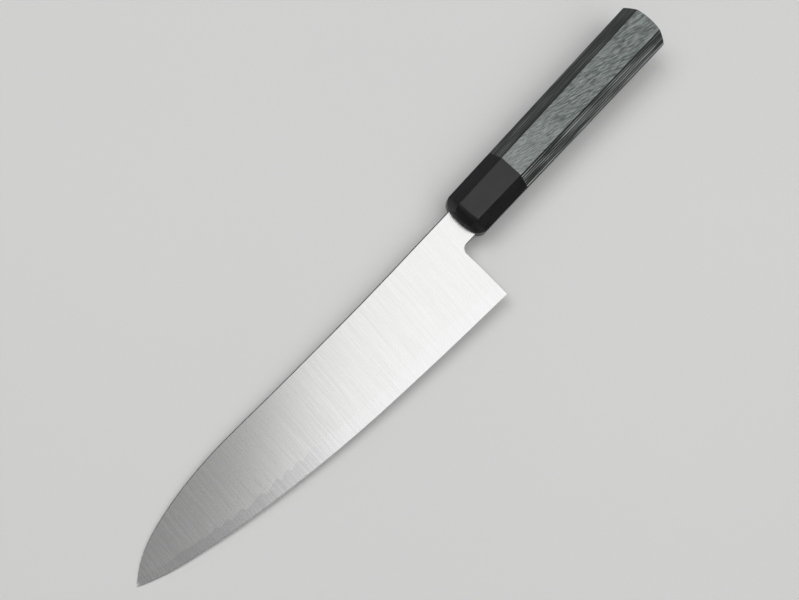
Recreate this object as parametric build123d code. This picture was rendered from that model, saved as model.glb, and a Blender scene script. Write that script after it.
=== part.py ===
from build123d import *
import math
import os

# Chef knife lying on the flat side of its handle, in millimetres.
# X runs along the knife: the tip points to -X, the butt to +X.
# Y runs across it: the spine is at +Y, the cutting edge at -Y.
# Z is up. Z = 0 is the side of the handle that the knife lies on, and X = 0 is the middle of the handle.

# Handle
HANDLE_LENGTH = 143.0        # front of the ferrule to the end of the butt
HANDLE_WIDTH = 19.0          # between the two flat sides, the same all along
HANDLE_HEIGHT_FRONT = 23.8   # spine side to edge side, at the front
HANDLE_HEIGHT_BUTT = 27.2    # spine side to edge side, at the butt
BEVEL_ACROSS = 6.3           # each corner bevel, measured along Y
BEVEL_DEEP = 5.8             # each corner bevel, measured along Z
END_DOME_RADIUS = 34.0       # both ends of the handle are domed
FERRULE_LENGTH = 35.3
FERRULE_FRONT_ROUND = 6.4    # radius on the rim of the ferrule's front
FACET_SKIM = 0.3             # taken off the ferrule's sides after the rounding, which leaves crisp facet ends

# Laminated block
VENEER_PAIRS_PER_SIDE = 5    # light and dark sheets on each side of the middle one
DARK_VENEER = 1.14
LIGHT_VENEER = 0.57

# Tang, dowel and bedding inside the handle
NECK_DEPTH = 7.0             # how far the full-height neck goes into the ferrule
TANG_REACH = 90.0            # front of the ferrule to the end of the tang
TANG_THICKNESS = 2.0
TANG_HEIGHT_ROOT = 9.0
TANG_HEIGHT_END = 6.0
DOWEL_DIAMETER = 13.0
DOWEL_LENGTH = 42.0
DOWEL_IN_WOOD = 20.0
DOWEL_SLOT_HEIGHT = 11.0
DOWEL_SLOT_WIDTH = 3.4
TANG_BORE_DIAMETER = 9.0
TANG_BORE_BEYOND = 5.0       # how far the bore runs on past the end of the tang

# Blade: for each place along X, the Y of the cutting edge, the Y of the spine, and the spine's thickness
HEEL_X = -81.2
HEEL_EDGE_Y = -39.1
BLADE_STATIONS = [
    (-288.8, -5.7, -5.5, 0.30),
    (-286.4, -7.1, -3.6, 0.55),
    (-283.0, -8.7, -1.1, 0.80),
    (-275.0, -11.9, 3.1, 1.10),
    (-262.5, -15.6, 6.7, 1.40),
    (-245.8, -19.8, 9.3, 1.65),
    (-224.5, -24.1, 10.4, 1.90),
    (-198.2, -28.4, 9.6, 2.10),
    (-162.4, -32.8, 8.45, 2.30),
    (-143.5, -34.5, 8.0, 2.40),
    (-123.0, -36.2, 7.68, 2.47),
    (-102.0, -37.7, 7.62, 2.54),
    (HEEL_X, HEEL_EDGE_Y, 7.64, 2.60),
    (-62.0, -40.3, 7.64, 2.62),
]
SIDE_BULGE = 0.05            # how far each side stands out beyond a straight wedge, at mid height
FULL_SECTION_HEIGHT = 8.0    # near the tip, where the blade is lower than this, its section shrinks in step
SHARPENED_HEIGHT = 0.38      # height of the sharpened bevel along the edge
SHOULDER_HALF = 0.13         # half thickness at the top of the sharpened bevel
APEX_HALF = 0.03             # half thickness left at the cutting edge
SPINE_EASE = 0.20            # width of the eased corners of the spine, as a share of its thickness
SPINE_EASE_DEPTH = 0.155     # depth of the eased corners of the spine, as a share of its thickness
NECK_EDGE_Y = -9.25          # underside of the neck
CHOIL_RADIUS = 3.2
CHOIL_TOP_X = -79.8          # where the heel drop would meet the neck
CHOIL_EASE_START = 0.62      # distance from mid-thickness at which the easing of the choil's corners begins
CHOIL_EASE_DEPTH = 1.0       # how far the tool that eases them reaches on

# Layers of the blade
CORE_SHARE = 0.35            # core thickness as a share of the blade's
CLADDING_LINE_START = 2.8    # height of the cladding line above the edge at the tip
CLADDING_LINE_RISE = 4.9     # how much higher it runs towards the heel
CLADDING_RISE_LENGTH = 55.0
CLADDING_TOOTH = 8.0         # length of each tooth of the line
CLADDING_TOOTH_HEIGHT = 2.5
CLADDING_DRIFT = 0.6         # slow rise and fall of the line
CLADDING_DRIFT_LENGTH = 72.0
CLADDING_LINE_STEP = 1.5     # spacing of the points that draw the wavy cladding line

FRONT_X = -HANDLE_LENGTH / 2
BUTT_X = HANDLE_LENGTH / 2
JOINT_X = FRONT_X + FERRULE_LENGTH
NECK_END_X = FRONT_X + NECK_DEPTH
TANG_END_X = FRONT_X + TANG_REACH
DOWEL_END_X = JOINT_X + DOWEL_IN_WOOD
DOWEL_START_X = DOWEL_END_X - DOWEL_LENGTH
MID_Z = HANDLE_WIDTH / 2
PAST = 2.0                   # how far a cutter or a joined piece runs past a face
FAR = 200.0                  # larger than anything it has to cut


def half_height(x):
    """Half of the handle's height at a place along it."""
    share = (x - FRONT_X) / HANDLE_LENGTH
    return (HANDLE_HEIGHT_FRONT + share * (HANDLE_HEIGHT_BUTT - HANDLE_HEIGHT_FRONT)) / 2


def across(x):
    """Plane square to the knife at x, with its first axis along Y and its second along Z."""
    return Plane(origin=(x, 0, MID_Z), x_dir=(0, 1, 0), z_dir=(1, 0, 0))


def octagonal_bar(start_x, end_x, allowance=0.0):
    """A length of the tapered handle: a flat slab with its four long corners bevelled away.

    The allowance is how far each of its eight sides stands out beyond the finished handle."""
    start = half_height(start_x) + allowance
    end = half_height(end_x) + allowance
    plan = Polyline((start_x, -start), (end_x, -end), (end_x, end), (start_x, start), close=True)
    body = extrude(Plane.XY.offset(-allowance) * make_face(plan), HANDLE_WIDTH + 2 * allowance)
    bevel_width = math.hypot(BEVEL_ACROSS, BEVEL_DEEP)
    growth = 1 + allowance * (BEVEL_ACROSS + BEVEL_DEEP - bevel_width) / (BEVEL_ACROSS * BEVEL_DEEP)
    for side in (0, -1):
        flat = body.faces().sort_by(Axis.Z)[side]
        long_edges = [edge for edge in flat.edges() if abs(edge.tangent_at(0.5).X) > 0.9]
        body = chamfer(long_edges, growth * BEVEL_ACROSS, growth * BEVEL_DEEP, reference=flat)
    return body


def dome_waste(apex_x, outward):
    """What is taken off one end of the handle to leave a dome; outward is -1 at the front, 1 at the butt."""
    centre_x = apex_x - outward * END_DOME_RADIUS
    block_length = 2 * END_DOME_RADIUS
    block_centre = Location((centre_x + outward * block_length / 2, 0, MID_Z))
    block = block_centre * Box(block_length, FAR, FAR)
    return block - Location((centre_x, 0, MID_Z)) * Sphere(END_DOME_RADIUS)


def rod(start_x, end_x, diameter):
    """A round bar along the handle's axis."""
    return extrude(across(start_x) * Circle(diameter / 2), end_x - start_x)


def bar(start_x, end_x, height, width):
    """A rectangular bar along the handle's axis."""
    return extrude(across(start_x) * Rectangle(height, width), end_x - start_x)


def blade_section(x, edge_y, spine_y, thickness):
    """Section of the blade: sharpened bevel, slightly convex side, eased spine."""
    height = spine_y - edge_y
    shrink = min(1.0, height / FULL_SECTION_HEIGHT)
    half = thickness / 2
    ease_half = half - SPINE_EASE_DEPTH * thickness
    apex = APEX_HALF
    shoulder = max(apex + 0.01, min(SHOULDER_HALF, 0.8 * half) * shrink)
    shoulder_y = edge_y + min(SHARPENED_HEIGHT * shrink, 0.3 * height)
    ease_y = spine_y - min(SPINE_EASE * thickness, 0.25 * height)
    bulge = SIDE_BULGE * shrink
    middle_y = (shoulder_y + ease_y) / 2
    middle = (shoulder + half) / 2 + bulge
    outline = [
        Line((edge_y, -apex), (edge_y, apex)),
        Line((edge_y, apex), (shoulder_y, shoulder)),
        ThreePointArc((shoulder_y, shoulder), (middle_y, middle), (ease_y, half)),
        Line((ease_y, half), (spine_y, ease_half)),
        Line((spine_y, ease_half), (spine_y, -ease_half)),
        Line((spine_y, -ease_half), (ease_y, -half)),
        ThreePointArc((ease_y, -half), (middle_y, -middle), (shoulder_y, -shoulder)),
        Line((shoulder_y, -shoulder), (edge_y, -apex)),
    ]
    return across(x) * make_face(Curve() + outline)


def core_section(x, edge_y, spine_y, thickness):
    """Section of the core sheet, carried past the edge and the spine so that it cuts the blade right through."""
    low = edge_y - PAST
    high = spine_y + PAST
    low_half = CORE_SHARE * APEX_HALF
    high_half = CORE_SHARE * thickness / 2
    corners = [(low, -low_half), (low, low_half), (high, high_half), (high, -high_half)]
    return across(x) * make_face(Polyline(*corners, close=True))


def below_neck():
    """Outline of what is cut away under the neck, behind the heel, with the rounded choil."""
    corner = (CHOIL_TOP_X, NECK_EDGE_Y)
    drop = Vector(HEEL_X - CHOIL_TOP_X, HEEL_EDGE_Y - NECK_EDGE_Y)
    low = Vector(*corner) + 2 * drop
    corners = [(low.X, low.Y), corner, (JOINT_X, NECK_EDGE_Y), (JOINT_X, low.Y)]
    face = make_face(Polyline(*corners, close=True))
    choil = face.vertices().group_by(Axis.Y)[-1].sort_by(Axis.X)[0]
    return fillet(choil, CHOIL_RADIUS)


def tang():
    """Flat tapered tang with a rounded end."""
    root = TANG_HEIGHT_ROOT / 2
    end = TANG_HEIGHT_END / 2
    start_x = NECK_END_X - PAST
    corners = [(start_x, root), (NECK_END_X, root), (TANG_END_X - end, end)]
    outline = Polyline(*corners)
    outline += ThreePointArc((TANG_END_X - end, end), (TANG_END_X, 0), (TANG_END_X - end, -end))
    outline += Polyline((TANG_END_X - end, -end), (NECK_END_X, -root), (start_x, -root), (start_x, root))
    plate = Plane.XY.offset(MID_Z - TANG_THICKNESS / 2) * make_face(outline)
    return extrude(plate, TANG_THICKNESS)


def blade_and_tang():
    """The whole forging, before it is divided into its layers."""
    blade = loft([blade_section(*station) for station in BLADE_STATIONS])
    waste = below_neck()
    blade -= extrude(waste, HANDLE_WIDTH)
    for side in (1, -1):
        start = Plane(origin=(0, 0, MID_Z + side * CHOIL_EASE_START), x_dir=(1, 0, 0), z_dir=(0, 0, side))
        mirrored = waste if side == 1 else mirror(waste, Plane.XZ)
        blade -= extrude(start * mirrored, CHOIL_EASE_DEPTH, taper=-45)
    blade -= Location((NECK_END_X + FAR / 2, 0, MID_Z)) * Box(FAR, FAR, FAR)
    return blade + tang()


def edge_height(x):
    """Y of the cutting edge at x, read off between the blade's stations."""
    for (x0, y0, _, _), (x1, y1, _, _) in zip(BLADE_STATIONS, BLADE_STATIONS[1:]):
        if x <= x1:
            return y0 + (y1 - y0) * (x - x0) / (x1 - x0)
    return BLADE_STATIONS[-1][1]


def cladding_line_height(x):
    """Height of the wavy cladding line above the cutting edge at x."""
    from_tip = x - BLADE_STATIONS[0][0]
    rise = CLADDING_LINE_RISE * (1 - math.exp(-from_tip / CLADDING_RISE_LENGTH))
    uneven = CLADDING_TOOTH / 4 * math.sin(5 * from_tip / (4 * CLADDING_TOOTH))
    tooth = (from_tip + uneven) / CLADDING_TOOTH % 1.0 - 0.5
    fade_in = min(1.0, from_tip / CLADDING_RISE_LENGTH)
    drift = CLADDING_DRIFT * math.sin(2 * math.pi * from_tip / CLADDING_DRIFT_LENGTH)
    return CLADDING_LINE_START + rise + CLADDING_TOOTH_HEIGHT * tooth * fade_in + drift


def cladding_zone():
    """Everything on the spine side of the wavy cladding line, as a tall prism."""
    start_x = BLADE_STATIONS[0][0] - PAST
    count = int((FRONT_X - start_x) / CLADDING_LINE_STEP)
    points = []
    for i in range(count + 1):
        x = start_x + i * CLADDING_LINE_STEP
        points.append((x, edge_height(x) + cladding_line_height(x)))
    first = points[0]
    last = points[-1]
    points += [(BUTT_X, last[1]), (BUTT_X, FAR), (first[0], FAR)]
    return extrude(make_face(Polyline(*points, close=True)), HANDLE_WIDTH)


def blade_layers():
    """Divide the forging into the core and the two claddings."""
    whole = blade_and_tang()
    core_sheet = loft([core_section(*station) for station in BLADE_STATIONS])
    tang_core = bar(NECK_END_X - 2 * PAST, TANG_END_X + PAST, 2 * TANG_HEIGHT_ROOT, CORE_SHARE * TANG_THICKNESS)
    claddings = (whole & cladding_zone()) - core_sheet - tang_core
    core = whole - claddings
    right, left = claddings.solids().sort_by(Axis.Z)
    return core, left, right


def ferrule(blade):
    """Black ferrule: domed and rounded front, slot for the neck, bore for the dowel."""
    blank = octagonal_bar(FRONT_X, JOINT_X, FACET_SKIM) - dome_waste(FRONT_X, -1)
    rim = blank.faces().sort_by(Axis.X)[0].edges()
    body = octagonal_bar(FRONT_X, JOINT_X) & fillet(rim, FERRULE_FRONT_ROUND)
    body -= blade
    body -= rod(NECK_END_X, JOINT_X, DOWEL_DIAMETER)
    return body


def wood_block():
    """The laminated block with its bores, before it is divided into veneers."""
    body = octagonal_bar(JOINT_X, BUTT_X)
    body -= dome_waste(BUTT_X, 1)
    body -= rod(JOINT_X, DOWEL_END_X, DOWEL_DIAMETER)
    body -= rod(DOWEL_END_X, TANG_END_X + TANG_BORE_BEYOND, TANG_BORE_DIAMETER)
    return body


def veneer_levels():
    """Heights of the glue lines between the sheets, from the bottom side to the top side."""
    above = [DARK_VENEER / 2]
    for _ in range(VENEER_PAIRS_PER_SIDE):
        above.append(above[-1] + LIGHT_VENEER)
        above.append(above[-1] + DARK_VENEER)
    above.append(HANDLE_WIDTH / 2)
    below = [-level for level in reversed(above)]
    return [MID_Z + level for level in below + above]


def veneers():
    """Each sheet of the laminated block, from the bottom side to the top side."""
    block = wood_block()
    levels = veneer_levels()
    sheets = []
    for low, high in zip(levels, levels[1:]):
        slab = Location((0, 0, (low + high) / 2)) * Box(FAR, FAR, high - low)
        sheets.append(block & slab)
    return sheets


def dowel():
    """Round wooden tenon across the joint, slotted for the tang."""
    return rod(DOWEL_START_X, DOWEL_END_X, DOWEL_DIAMETER) - bar(
        DOWEL_START_X, DOWEL_END_X, DOWEL_SLOT_HEIGHT, DOWEL_SLOT_WIDTH
    )


def tang_bedding(blade):
    """Hardened epoxy that fills the bores and the dowel's slot round the tang."""
    front = rod(NECK_END_X, DOWEL_START_X, DOWEL_DIAMETER)
    middle = bar(DOWEL_START_X, DOWEL_END_X, DOWEL_SLOT_HEIGHT, DOWEL_SLOT_WIDTH)
    back = rod(DOWEL_END_X, TANG_END_X + TANG_BORE_BEYOND, TANG_BORE_DIAMETER)
    return front + (middle & rod(DOWEL_START_X, DOWEL_END_X, DOWEL_DIAMETER)) + back - blade


def build():
    """Every node of the knife, by name."""
    core, left, right = blade_layers()
    forging = core + left + right
    nodes = {"core_steel": core, "left_cladding": left, "right_cladding": right}
    nodes["ferrule"] = ferrule(forging)
    nodes["dowel"] = dowel()
    nodes["tang_bedding"] = tang_bedding(forging)
    for number, sheet in enumerate(veneers(), start=1):
        nodes[f"veneer_{number:02d}"] = sheet
    return nodes


os.makedirs("parts", exist_ok=True)
for name, shape in build().items():
    export_step(shape, f"parts/{name}.step")
    print(f"{name}: {shape.volume:.1f} mm3")
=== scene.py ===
import math

import bpy
from mathutils import Matrix, Quaternion, Vector


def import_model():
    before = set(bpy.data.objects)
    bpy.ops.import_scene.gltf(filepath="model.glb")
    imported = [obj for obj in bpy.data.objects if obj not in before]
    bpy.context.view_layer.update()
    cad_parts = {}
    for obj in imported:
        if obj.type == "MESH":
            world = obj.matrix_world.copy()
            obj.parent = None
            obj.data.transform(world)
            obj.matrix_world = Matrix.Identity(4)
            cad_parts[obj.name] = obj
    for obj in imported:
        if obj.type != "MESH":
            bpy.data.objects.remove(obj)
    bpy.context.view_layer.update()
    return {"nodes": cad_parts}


# Looks of a chef knife that lies on the flat side of its handle, in metres and in the frame of the CAD part.
# X runs along the knife with the tip at -X, +Y is the spine side, Z is up.

MM = 0.001

# Blade: hairlines across it. A cell is the size of one grain of noise along X, Y and Z.
HAIRLINE_TURN = math.radians(-6.5)   # they lean this far from square across the blade
HAIRLINE_CELL = (0.36 * MM, 26 * MM, 26 * MM)
HAIRLINE_BUNDLE_CELL = (3.0 * MM, 90 * MM, 90 * MM)
HAIRLINE_BUNDLE_SHARE = 0.08
HAIRLINES_FULL_X = -250 * MM         # clearest from here to the tip
HAIRLINES_FAINT_X = -170 * MM        # faintest from here to the heel
HAIRLINES_FAINT_SHARE = 0.10
HAIRLINE_SWING = 0.12                # how much paler and darker than the steel they get
SCRATCH_CELL = (0.15 * MM, 14 * MM, 14 * MM)
SCRATCH_DEPTH = 0.0002 * MM
STEEL_STRETCH = 0.85                 # anisotropy, along the blade
CLADDING_COLOR = (0.62, 0.62, 0.615)
CLADDING_ROUGHNESS = 0.185
CORE_COLOR = (0.62, 0.625, 0.62)
CORE_ROUGHNESS = 0.18

# The core is darker than the cladding towards the tip, which shows the wavy line between them; the darkening
# is also painted shade for the darker reflection near the tip, fading towards the heel
CORE_TIP_PAINTED_SHADE = 0.88
CORE_PAINTED_SHADE_FADE_AT_TIP = (-283 * MM, -258 * MM)
CORE_PAINTED_SHADE_LEFT_AT_TIP = 0.35
CORE_PAINTED_SHADE_FADE_TO_HEEL = (-212 * MM, -180 * MM)

# Ferrule
FERRULE_COLOR = (0.0032, 0.0032, 0.0034)
FERRULE_EDGE_RADIUS = 0.25 * MM
FERRULE_GRAIN_CELL = (0.16 * MM, 0.16 * MM, 0.16 * MM)
FERRULE_GRAIN_DEPTH = 0.003 * MM
FERRULE_SCUFF_CELL = (9 * MM, 4 * MM, 4 * MM)

# Laminated handle: the sheets repeat from the middle of the handle outwards
MIDDLE_Z = 9.5 * MM
SHEET_PITCH = 1.71 * MM              # one dark sheet and one light sheet
DARK_HALF = 0.57 * MM                # half thickness of a dark sheet
PLY_LINE_HALF = 0.13 * MM            # half width of the paler line in the middle of a dark sheet
PLY_LINE_SHARE = 0.85                # how far that line takes the tone of a light sheet
GLUE_STAIN = 0.09 * MM               # how far the dark glue has soaked into a light sheet
SKIN_LEVEL = 9.0 * MM                # the outer sheets begin about here and are stained through
GLUE_WANDER = 0.09 * MM              # how far the glue lines wander up and down
GLUE_WANDER_CELL = (9 * MM, 4 * MM, 4 * MM)

# Wood of the light sheets where their flat shows
FLECK_TURN = math.radians(-15)       # flecks and pores run this far off the handle's axis
FLECK_CELL = (4.0 * MM, 0.25 * MM, 1.5 * MM)
FLECK_DARK = (0.075, 0.088, 0.085)
FLECK_PALE = (0.34, 0.376, 0.358)
PORE_CELL = (3.0 * MM, 0.20 * MM, 1.2 * MM)
PORE_COLOR = (0.045, 0.054, 0.052)
CLOUD_CELL = (14 * MM, 5 * MM, 5 * MM)
CLOUD_COLOR = (0.12, 0.14, 0.135)
PALER_FROM_TO_X = (-40 * MM, 15 * MM)    # the flat is paler towards the ferrule
PALER_COLOR = (0.36, 0.39, 0.375)

# Wood of all the sheets where they are cut across
STREAK_CELL = (24 * MM, 30 * MM, 0.30 * MM)
CUT_DARK = (0.035, 0.04, 0.039)
# Cut faces get painted light on the edge side and painted shade on the spine side
CUT_PALE_PAINTED_LIGHT_EDGE_SIDE = (0.56, 0.60, 0.58)
CUT_PALE_PAINTED_SHADE_SPINE_SIDE = (0.18, 0.195, 0.19)
CUT_CHANGE_Y = 6 * MM                # the side changes between -6 mm and 6 mm, from painted light on the edge side to painted shade on the spine side
CHARCOAL_DARK = (0.008, 0.009, 0.009)
CHARCOAL_PALE = (0.04, 0.044, 0.042)
GRAIN_CELL = (9 * MM, 0.35 * MM, 0.35 * MM)
WOOD_RELIEF = 0.02 * MM

# Hidden parts
BEECH_DARK = (0.46, 0.33, 0.20)
BEECH_PALE = (0.62, 0.48, 0.33)
BEECH_GRAIN_CELL = (12 * MM, 0.6 * MM, 0.6 * MM)
EPOXY_DARK = (0.25, 0.18, 0.09)
EPOXY_PALE = (0.36, 0.27, 0.15)
EPOXY_CLOUD_CELL = (4 * MM, 4 * MM, 4 * MM)

# Table: where the knife touches it, seen from the side as (x, z)
TABLE_AT_HANDLE = (-65.8 * MM, 0.0)
TABLE_AT_TIP = (-288.0 * MM, 9.3 * MM)
TABLE_SIZE = 16.0
TABLE_DARK = (0.74, 0.74, 0.735)
TABLE_PALE = (0.77, 0.77, 0.76)
TABLE_CLOUD_CELL = (0.25, 0.25, 0.25)

# Camera
CAMERA_PLACE = Vector((-222.74, -25.86, 481.14)) * MM
CAMERA_LOOK = Vector((0.21615, 0.04508, -0.97532))
CAMERA_UP = Vector((0.71402, 0.67402, 0.18939))
CAMERA_LENS = 47.02                  # millimetres
SENSOR_WIDTH = 36.0                  # millimetres
CLIP_START = 0.01
CLIP_END = 20.0

# Surroundings and lights
HORIZON_COLOR = (0.10, 0.10, 0.105)
ZENITH_COLOR = (0.33, 0.33, 0.33)
OVERHEAD_PLACE = (0.41, -0.45, 1.2)      # the blade mirrors the edge of this panel
OVERHEAD_TURN = math.radians(-45)
EDGE_BAND_PLACE = (0.46, -0.36, 1.2)     # the half of the blade next to its edge mirrors this one too
SPINE_SIDE_PLACE = (-0.25, 0.75, 1.35)
SPINE_SIDE_TARGET = (-0.1, 0.0, 0.0)
EDGE_SIDE_PLACE = (-0.1, -1.3, 1.1)
EDGE_SIDE_TARGET = (0.0, 0.0, 0.0)


# ---------------------------------------------------------------- node helpers

def new_material(name):
    """A material with node tree and Principled shader, as (material, tree, shader)."""
    material = bpy.data.materials.new(name)
    material.use_nodes = True
    tree = material.node_tree
    shader = tree.nodes["Principled BSDF"]
    return material, tree, shader


def plug(tree, value, socket):
    """Link a socket or set a plain value."""
    if isinstance(value, bpy.types.NodeSocket):
        tree.links.new(value, socket)
    elif isinstance(value, (tuple, list)) and len(value) == 3 and socket.type == "RGBA":
        socket.default_value = (*value, 1.0)
    else:
        socket.default_value = value


def math_node(tree, operation, first, second=None):
    """Result of a Math node."""
    node = tree.nodes.new("ShaderNodeMath")
    node.operation = operation
    plug(tree, first, node.inputs[0])
    if second is not None:
        plug(tree, second, node.inputs[1])
    return node.outputs[0]


def remap(tree, value, low, high, to_low=0.0, to_high=1.0, steps="SMOOTHSTEP"):
    """Move value from low..high to to_low..to_high, held at both ends."""
    node = tree.nodes.new("ShaderNodeMapRange")
    node.interpolation_type = steps
    plug(tree, value, node.inputs["Value"])
    plug(tree, low, node.inputs["From Min"])
    plug(tree, high, node.inputs["From Max"])
    plug(tree, to_low, node.inputs["To Min"])
    plug(tree, to_high, node.inputs["To Max"])
    return node.outputs["Result"]


def mix(tree, factor, first, second):
    """Mix two colours."""
    node = tree.nodes.new("ShaderNodeMix")
    node.data_type = "RGBA"
    plug(tree, factor, node.inputs["Factor"])
    plug(tree, first, node.inputs[6])
    plug(tree, second, node.inputs[7])
    return node.outputs[2]


def multiplied(color, share):
    """The colour multiplied by a share."""
    return tuple(share * part for part in color)


def object_place(tree):
    """Where a point is on the piece, in the axes of the part."""
    return tree.nodes.new("ShaderNodeTexCoord").outputs["Object"]


def axes(tree, vector):
    """X, Y and Z of a vector."""
    node = tree.nodes.new("ShaderNodeSeparateXYZ")
    tree.links.new(vector, node.inputs[0])
    return node.outputs


def noise(tree, vector, cell, detail=2.0, roughness=0.5, turn=0.0):
    """Noise whose cells measure cell = (x, y, z) metres, turned about Z."""
    turned = tree.nodes.new("ShaderNodeVectorRotate")
    turned.rotation_type = "Z_AXIS"
    turned.inputs["Angle"].default_value = -turn
    tree.links.new(vector, turned.inputs["Vector"])
    scaled = tree.nodes.new("ShaderNodeVectorMath")
    scaled.operation = "DIVIDE"
    tree.links.new(turned.outputs[0], scaled.inputs[0])
    scaled.inputs[1].default_value = cell
    node = tree.nodes.new("ShaderNodeTexNoise")
    node.inputs["Scale"].default_value = 1.0
    node.inputs["Detail"].default_value = detail
    node.inputs["Roughness"].default_value = roughness
    tree.links.new(scaled.outputs[0], node.inputs["Vector"])
    return node.outputs["Fac"]


def bump(tree, height, distance, normal=None):
    """Normal of a surface with this relief, on top of another normal if there is one."""
    node = tree.nodes.new("ShaderNodeBump")
    node.inputs["Distance"].default_value = distance
    tree.links.new(height, node.inputs["Height"])
    if normal is not None:
        tree.links.new(normal, node.inputs["Normal"])
    return node.outputs[0]


def rounded(tree, radius):
    """Normal that rounds the edges of a piece."""
    node = tree.nodes.new("ShaderNodeBevel")
    node.samples = 6
    node.inputs["Radius"].default_value = radius
    return node.outputs[0]


# ---------------------------------------------------------------- steel

def hairlines(tree, place):
    """Streaks from spine to edge, single ones and faint bundles of them."""
    bundles = noise(tree, place, HAIRLINE_BUNDLE_CELL, detail=1.0, turn=HAIRLINE_TURN)
    single = noise(tree, place, HAIRLINE_CELL, detail=2.0, roughness=0.7, turn=HAIRLINE_TURN)
    bundles = math_node(tree, "MULTIPLY", bundles, HAIRLINE_BUNDLE_SHARE)
    single = math_node(tree, "MULTIPLY", single, 1 - HAIRLINE_BUNDLE_SHARE)
    return math_node(tree, "ADD", bundles, single)


def hairline_shade(tree, streaks, along_blade):
    """0 on dark hairlines and 1 on pale ones, with less contrast towards the heel."""
    contrast = remap(tree, along_blade, HAIRLINES_FULL_X, HAIRLINES_FAINT_X, 1.0, HAIRLINES_FAINT_SHARE)
    swing = math_node(tree, "SUBTRACT", remap(tree, streaks, low=0.34, high=0.66), 0.5)
    return math_node(tree, "ADD", math_node(tree, "MULTIPLY", swing, contrast), 0.5)


def painted_shade_part(tree, along_blade):
    """1 where the core has its darkest painted shade, fading out at the tip and towards the heel."""
    from_tip = remap(tree, along_blade, *CORE_PAINTED_SHADE_FADE_AT_TIP, CORE_PAINTED_SHADE_LEFT_AT_TIP, 1.0)
    to_heel = remap(tree, along_blade, *CORE_PAINTED_SHADE_FADE_TO_HEEL, 1.0, 0.0)
    return math_node(tree, "MULTIPLY", from_tip, to_heel)


def tangent_along_blade(tree):
    """Direction square to the hairlines, in which highlights stretch."""
    node = tree.nodes.new("ShaderNodeVectorTransform")
    node.vector_type = "VECTOR"
    node.convert_from = "OBJECT"
    node.convert_to = "WORLD"
    node.inputs[0].default_value = (math.cos(HAIRLINE_TURN), math.sin(HAIRLINE_TURN), 0.0)
    return node.outputs[0]


def steel(name, color, roughness, tip_painted_shade=1.0):
    """Satin steel; over the part of the blade nearer the tip its colour is multiplied by the share given for
    the tip, as painted shade.
    """
    material, tree, shader = new_material(name)
    place = object_place(tree)
    along_blade = axes(tree, place)[0]
    streaks = hairlines(tree, place)
    shade = hairline_shade(tree, streaks, along_blade)
    dark = multiplied(color, 1 - HAIRLINE_SWING)
    pale = multiplied(color, 1 + HAIRLINE_SWING)
    near_heel = mix(tree, shade, dark, pale)
    # painted shade: the colour made darker over the part of the blade nearer the tip
    painted_shade_near_tip = mix(tree, shade, multiplied(dark, tip_painted_shade), multiplied(pale, tip_painted_shade))
    plug(tree, mix(tree, painted_shade_part(tree, along_blade), near_heel, painted_shade_near_tip), shader.inputs["Base Color"])
    uneven = remap(tree, streaks, low=0.3, high=0.7, to_low=roughness + 0.02, to_high=roughness - 0.02)
    plug(tree, uneven, shader.inputs["Roughness"])
    shader.inputs["Metallic"].default_value = 1.0
    shader.inputs["Anisotropic"].default_value = STEEL_STRETCH
    plug(tree, tangent_along_blade(tree), shader.inputs["Tangent"])
    scratches = noise(tree, place, SCRATCH_CELL, detail=2.0, turn=HAIRLINE_TURN)
    plug(tree, bump(tree, scratches, SCRATCH_DEPTH), shader.inputs["Normal"])
    return material


# ---------------------------------------------------------------- handle

def black_ferrule():
    """Fine satin black."""
    material, tree, shader = new_material("ferrule_black")
    place = object_place(tree)
    grain = noise(tree, place, FERRULE_GRAIN_CELL)
    scuff = noise(tree, place, FERRULE_SCUFF_CELL)
    plug(tree, FERRULE_COLOR, shader.inputs["Base Color"])
    plug(tree, remap(tree, scuff, low=0.3, high=0.7, to_low=0.27, to_high=0.35), shader.inputs["Roughness"])
    shader.inputs["Specular IOR Level"].default_value = 0.43
    normal = bump(tree, grain, FERRULE_GRAIN_DEPTH, rounded(tree, FERRULE_EDGE_RADIUS))
    plug(tree, normal, shader.inputs["Normal"])
    return material


def step_at(tree, value, level, softness, rising=True):
    """A soft step of value at a level, from 0 to 1, or from 1 to 0 where it isn't rising."""
    low, high = level - softness, level + softness
    if not rising:
        low, high = high, low
    return remap(tree, value, low, high)


def sheet_masks(tree, place):
    """Masks of the light sheets, of their unstained part and of the line in the middle of the dark ones."""
    wander = noise(tree, place, GLUE_WANDER_CELL, detail=3.0, roughness=0.6)
    shift = remap(tree, wander, 0.25, 0.75, -GLUE_WANDER, GLUE_WANDER, steps="LINEAR")
    from_middle = math_node(tree, "SUBTRACT", axes(tree, place)[2], MIDDLE_Z)
    level = math_node(tree, "ADD", from_middle, shift)
    from_dark = math_node(tree, "PINGPONG", level, SHEET_PITCH / 2)
    light_sheet = step_at(tree, from_dark, DARK_HALF, 0.02 * MM)
    ply_line = step_at(tree, from_dark, PLY_LINE_HALF, 0.03 * MM, rising=False)
    unstained = step_at(tree, from_dark, DARK_HALF + GLUE_STAIN, 0.03 * MM)
    inside = step_at(tree, math_node(tree, "ABSOLUTE", level), SKIN_LEVEL, 0.05 * MM, rising=False)
    return light_sheet, math_node(tree, "MULTIPLY", unstained, inside), ply_line


def flat_cut(tree):
    """1 on the wide facets, which show the flat of a sheet, and 0 where the sheets are cut across."""
    normal = tree.nodes.new("ShaderNodeTexCoord").outputs["Normal"]
    facing = math_node(tree, "ABSOLUTE", axes(tree, normal)[2])
    return remap(tree, facing, low=0.85, high=0.95)


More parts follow.
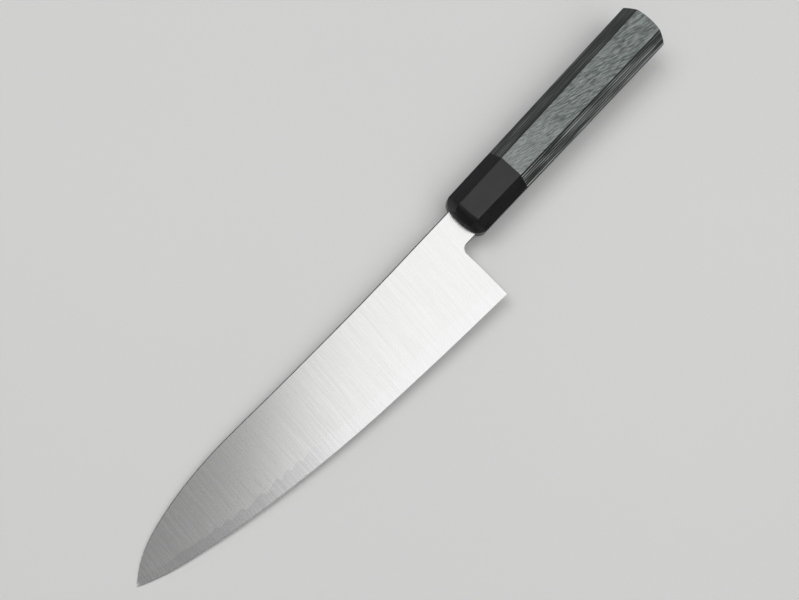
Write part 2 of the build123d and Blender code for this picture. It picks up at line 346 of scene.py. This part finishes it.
def flat_wood(tree, place, fleck):
    """Colour of a light sheet seen flat: flecks, soft clouds, dark pores, paler towards the ferrule."""
    cloud = noise(tree, place, CLOUD_CELL)
    pore = noise(tree, place, PORE_CELL, detail=1.0, turn=FLECK_TURN)
    paler = remap(tree, axes(tree, place)[0], *PALER_FROM_TO_X, 0.45, 0.0)
    color = mix(tree, remap(tree, fleck, low=0.38, high=0.62), FLECK_DARK, FLECK_PALE)
    color = mix(tree, remap(tree, cloud, low=0.3, high=0.7, to_high=0.35), color, CLOUD_COLOR)
    color = mix(tree, paler, color, PALER_COLOR)
    return mix(tree, remap(tree, pore, low=0.58, high=0.66, to_high=0.8), color, PORE_COLOR)


def laminated_wood(name):
    """Dyed laminated wood: flecked grey-green sheets and charcoal sheets, streaky where they are cut, with
    painted light on the edge side and painted shade on the spine side of the cut faces.
    """
    material, tree, shader = new_material(name)
    place = object_place(tree)
    light_sheet, unstained, ply_line = sheet_masks(tree, place)
    fleck = noise(tree, place, FLECK_CELL, detail=1.0, turn=FLECK_TURN)
    streak = noise(tree, place, STREAK_CELL, detail=3.0, roughness=0.7)
    grain = noise(tree, place, GRAIN_CELL, detail=3.0, roughness=0.6)
    # painted light on the edge side and painted shade on the spine side of the cut faces
    to_spine_painted_shade = remap(tree, axes(tree, place)[1], -CUT_CHANGE_Y, CUT_CHANGE_Y)
    pale_with_painted_light_and_shade = mix(tree, to_spine_painted_shade, CUT_PALE_PAINTED_LIGHT_EDGE_SIDE, CUT_PALE_PAINTED_SHADE_SPINE_SIDE)
    cut = mix(tree, remap(tree, streak, low=0.40, high=0.66), CUT_DARK, pale_with_painted_light_and_shade)
    charcoal = mix(tree, remap(tree, streak, low=0.35, high=0.68), CHARCOAL_DARK, CHARCOAL_PALE)
    light_cut = mix(tree, unstained, charcoal, cut)
    light = mix(tree, flat_cut(tree), light_cut, flat_wood(tree, place, fleck))
    dark = mix(tree, math_node(tree, "MULTIPLY", ply_line, PLY_LINE_SHARE), charcoal, cut)
    plug(tree, mix(tree, light_sheet, dark, light), shader.inputs["Base Color"])
    plug(tree, remap(tree, grain, low=0.3, high=0.7, to_low=0.42, to_high=0.55), shader.inputs["Roughness"])
    shader.inputs["Specular IOR Level"].default_value = 0.3
    half_fleck = math_node(tree, "MULTIPLY", fleck, 0.5)
    half_grain = math_node(tree, "MULTIPLY", grain, 0.5)
    relief = math_node(tree, "ADD", half_fleck, half_grain)
    plug(tree, bump(tree, relief, WOOD_RELIEF), shader.inputs["Normal"])
    return material


def plain_beech():
    """Undyed wood of the dowel."""
    material, tree, shader = new_material("dowel_beech")
    grain = noise(tree, object_place(tree), BEECH_GRAIN_CELL, detail=3.0)
    color = mix(tree, remap(tree, grain, low=0.3, high=0.7), BEECH_DARK, BEECH_PALE)
    plug(tree, color, shader.inputs["Base Color"])
    shader.inputs["Roughness"].default_value = 0.6
    return material


def hardened_epoxy():
    """Slightly cloudy amber resin."""
    material, tree, shader = new_material("epoxy_amber")
    cloud = noise(tree, object_place(tree), EPOXY_CLOUD_CELL)
    plug(tree, mix(tree, cloud, EPOXY_DARK, EPOXY_PALE), shader.inputs["Base Color"])
    shader.inputs["Roughness"].default_value = 0.2
    return material


def matte_table():
    """Pale matte table top."""
    material, tree, shader = new_material("table_pale")
    tone = noise(tree, object_place(tree), TABLE_CLOUD_CELL)
    plug(tree, mix(tree, tone, TABLE_DARK, TABLE_PALE), shader.inputs["Base Color"])
    shader.inputs["Roughness"].default_value = 0.85
    shader.inputs["Specular IOR Level"].default_value = 0.15
    return material


# ---------------------------------------------------------------- pieces

def paint(piece, material):
    """Put one material on every slot of a piece, on the object and not on its mesh."""
    if not piece.material_slots:
        piece.data.materials.append(material)
    for slot in piece.material_slots:
        slot.link = "OBJECT"
        slot.material = material


def dress(nodes):
    """Give every CAD node its material."""
    cladding = steel("cladding_satin", CLADDING_COLOR, CLADDING_ROUGHNESS)
    core = steel("core_satin", CORE_COLOR, CORE_ROUGHNESS, CORE_TIP_PAINTED_SHADE)
    ferrule = black_ferrule()
    light = laminated_wood("veneer_light")
    dark = laminated_wood("veneer_dark")
    looks = {
        "core_steel": (core, "core_steel"),
        "left_cladding": (cladding, "cladding_steel"),
        "right_cladding": (cladding, "cladding_steel"),
        "ferrule": (ferrule, "ferrule"),
        "dowel": (plain_beech(), "dowel_wood"),
        "tang_bedding": (hardened_epoxy(), "epoxy"),
    }
    for name, piece in nodes.items():
        if name.startswith("veneer_"):
            is_light = int(name[-2:]) % 2 == 1
            material, slot = (light, "light_veneer") if is_light else (dark, "dark_veneer")
        else:
            material, slot = looks[name]
        paint(piece, material)


# ---------------------------------------------------------------- scene

def add_table():
    """Plain pale table top, tilted so that the front of the handle and the tip both touch it."""
    run = TABLE_AT_TIP[0] - TABLE_AT_HANDLE[0]
    slope = (TABLE_AT_TIP[1] - TABLE_AT_HANDLE[1]) / run
    half = TABLE_SIZE / 2
    corners = []
    for x, y in ((-half, -half), (half, -half), (half, half), (-half, half)):
        corners.append((x, y, TABLE_AT_HANDLE[1] + (x - TABLE_AT_HANDLE[0]) * slope))
    mesh = bpy.data.meshes.new("table")
    mesh.from_pydata(corners, [], [(0, 1, 2, 3)])
    table = bpy.data.objects.new("table", mesh)
    table.data.materials.append(matte_table())
    bpy.context.scene.collection.objects.link(table)


def add_camera():
    """Camera above the blade, which looks down and a little towards the handle."""
    data = bpy.data.cameras.new("camera")
    data.lens = CAMERA_LENS
    data.sensor_width = SENSOR_WIDTH
    data.sensor_fit = "HORIZONTAL"
    data.clip_start = CLIP_START
    data.clip_end = CLIP_END
    camera = bpy.data.objects.new("camera", data)
    back = -CAMERA_LOOK.normalized()
    right = CAMERA_UP.cross(back).normalized()
    up = back.cross(right)
    turn = Matrix((right, up, back)).transposed().to_4x4()
    camera.matrix_world = Matrix.Translation(CAMERA_PLACE) @ turn
    bpy.context.scene.collection.objects.link(camera)
    bpy.context.scene.camera = camera


def add_surroundings():
    """Pale studio: brighter overhead, dimmer towards the horizon."""
    world = bpy.data.worlds.new("studio")
    bpy.context.scene.world = world
    world.use_nodes = True
    tree = world.node_tree
    background = tree.nodes["Background"]
    direction = tree.nodes.new("ShaderNodeTexCoord").outputs["Generated"]
    lift = remap(tree, axes(tree, direction)[2], low=-0.1, high=0.9)
    plug(tree, mix(tree, lift, HORIZON_COLOR, ZENITH_COLOR), background.inputs["Color"])
    background.inputs["Strength"].default_value = 1.0


def add_softbox(name, place, target, width, height, brightness, turn=0.0):
    """Rectangular soft light of a given brightness per area, aimed at a point, turned about its own axis."""
    data = bpy.data.lights.new(name, "AREA")
    data.shape = "RECTANGLE"
    data.size = width
    data.size_y = height
    data.energy = brightness * width * height * math.pi
    light = bpy.data.objects.new(name, data)
    light.location = place
    aim = (Vector(target) - Vector(place)).to_track_quat("-Z", "Y")
    light.rotation_euler = (aim @ Quaternion((0.0, 0.0, 1.0), turn)).to_euler()
    bpy.context.scene.collection.objects.link(light)


def below(place):
    """The point straight below a place, at table height."""
    return place[0], place[1], 0.0


def add_lights():
    """Two panels that face straight down and one softbox on each side."""
    add_softbox("overhead", OVERHEAD_PLACE, below(OVERHEAD_PLACE), width=1.4, height=1.3, brightness=1.18,
                turn=OVERHEAD_TURN)
    add_softbox("edge_band", EDGE_BAND_PLACE, below(EDGE_BAND_PLACE), width=1.3, height=0.6, brightness=0.45)
    add_softbox("spine_side", SPINE_SIDE_PLACE, SPINE_SIDE_TARGET, width=0.9, height=0.9, brightness=3.2)
    add_softbox("edge_side", EDGE_SIDE_PLACE, EDGE_SIDE_TARGET, width=1.0, height=0.6, brightness=1.0)


def main():
    """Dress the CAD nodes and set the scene."""
    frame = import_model()
    dress(frame["nodes"])
    add_table()
    add_camera()
    add_surroundings()
    add_lights()
    bpy.context.scene.view_settings.view_transform = "Standard"


main()
